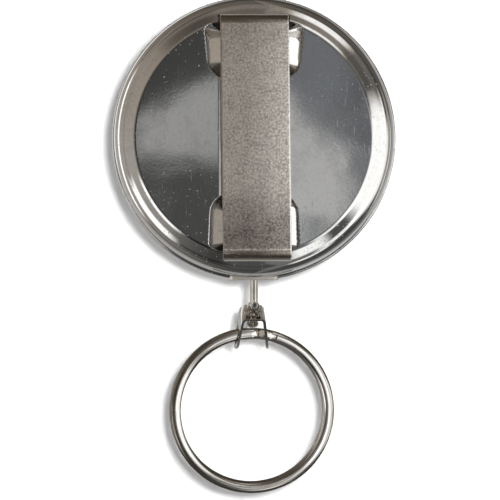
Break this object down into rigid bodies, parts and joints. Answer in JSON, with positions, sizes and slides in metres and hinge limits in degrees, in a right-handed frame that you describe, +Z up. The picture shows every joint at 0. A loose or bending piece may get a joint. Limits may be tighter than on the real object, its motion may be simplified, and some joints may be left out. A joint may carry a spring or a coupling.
{
  "type": "belt key clip",
  "caption": "Round polished-steel retractable key reel with a belt clip on its back, and a chain, end link, swivel and split ring that hold keys.",
  "frame": {"origin": "on the axis of the round case, on the flat of its back that lies against a belt", "axes": "+Z up as it hangs on a belt, +Y from the belt towards the front cover, -Y towards the belt clip, +X to the right as seen from the clip's side"},
  "size_m": [0.054, 0.0189, 0.095],
  "materials": {
    "polished_case": "bright polished plate with fine scratches",
    "clip_steel": "tumbled, warm grey, finely speckled",
    "nickel": "bright nickel plate",
    "ring_steel": "nickel-plated spring steel, lightly worn",
    "plain_steel": "plain, lightly oiled",
    "spring_steel": "blued",
    "brass": "turned",
    "nylon": "moulded, natural white"
  },
  "bodies": {
    "case": {"back_cover": "polished_case", "front_cover": "polished_case", "clip_anchor": "plain_steel", "chain_guide": "nickel", "guide_eyelet": "nickel", "guide_retainer": "plain_steel", "axle_post": "plain_steel", "axle_washer": "brass", "axle_keeper": "plain_steel", "spring_arbor": "plain_steel"},
    "clip": {"belt_clip": "clip_steel"},
    "drum": {"drum_core": "nylon", "drum_flange_back": "plain_steel", "drum_flange_front": "plain_steel", "drum_rivets": "brass", "hub_bushing_back": "brass", "hub_bushing_front": "brass", "power_spring": "spring_steel", "spring_anchor_pin": "brass", "chain_coil": "nickel"},
    "chain": {"chain_link_lower": "nickel", "chain_link_middle": "nickel", "chain_link_upper": "nickel"},
    "link": {"end_link": "nickel"},
    "pin": {"swivel_pin": "nickel"},
    "stirrup": {"swivel_stirrup": "nickel"},
    "ring": {"split_ring": "ring_steel"}
  },
  "joints": [
    {"name": "clip_flex", "type": "hinge", "parent": "case", "child": "clip", "pos_m": [0, 0.0008, 0.022], "axis": [-1, 0, 0], "range_deg": [0, 8], "stiffness_Nm_per_rad": 2},
    {"name": "pull_out", "type": "slide", "parent": "case", "child": "chain", "axis": [0, 0, -1], "range_m": [0, 0.009], "stiffness_N_per_m": 8, "springref_m": -0.25},
    {"name": "drum_spin", "type": "hinge", "parent": "case", "child": "drum", "pos_m": [0, 0.00725, 0], "axis": [0, 1, 0], "range_deg": [0, 36]},
    {"name": "link_swing", "type": "hinge", "parent": "chain", "child": "link", "pos_m": [0, 0.0065, -0.0249], "axis": [-0.0872, 0.9962, 0], "range_deg": [-20, 20]},
    {"name": "pin_tilt", "type": "hinge", "parent": "link", "child": "pin", "pos_m": [0, 0.0065, -0.03075], "axis": [0.9962, 0.0872, 0], "range_deg": [-77, 28]},
    {"name": "swivel_spin", "type": "hinge", "parent": "pin", "child": "stirrup", "pos_m": [0, 0.0065, -0.03075], "axis": [-0.0462, 0.5279, -0.848], "continuous": true},
    {"name": "ring_swing", "type": "hinge", "parent": "stirrup", "child": "ring", "pos_m": [-0.00037, 0.01072, -0.03753], "axis": [0.9962, 0.0872, 0], "range_deg": [-45, 90]}
  ],
  "couplings": [
    {"joint": "drum_spin", "follows": "pull_out", "rad_per_m": 66.667}
  ]
}
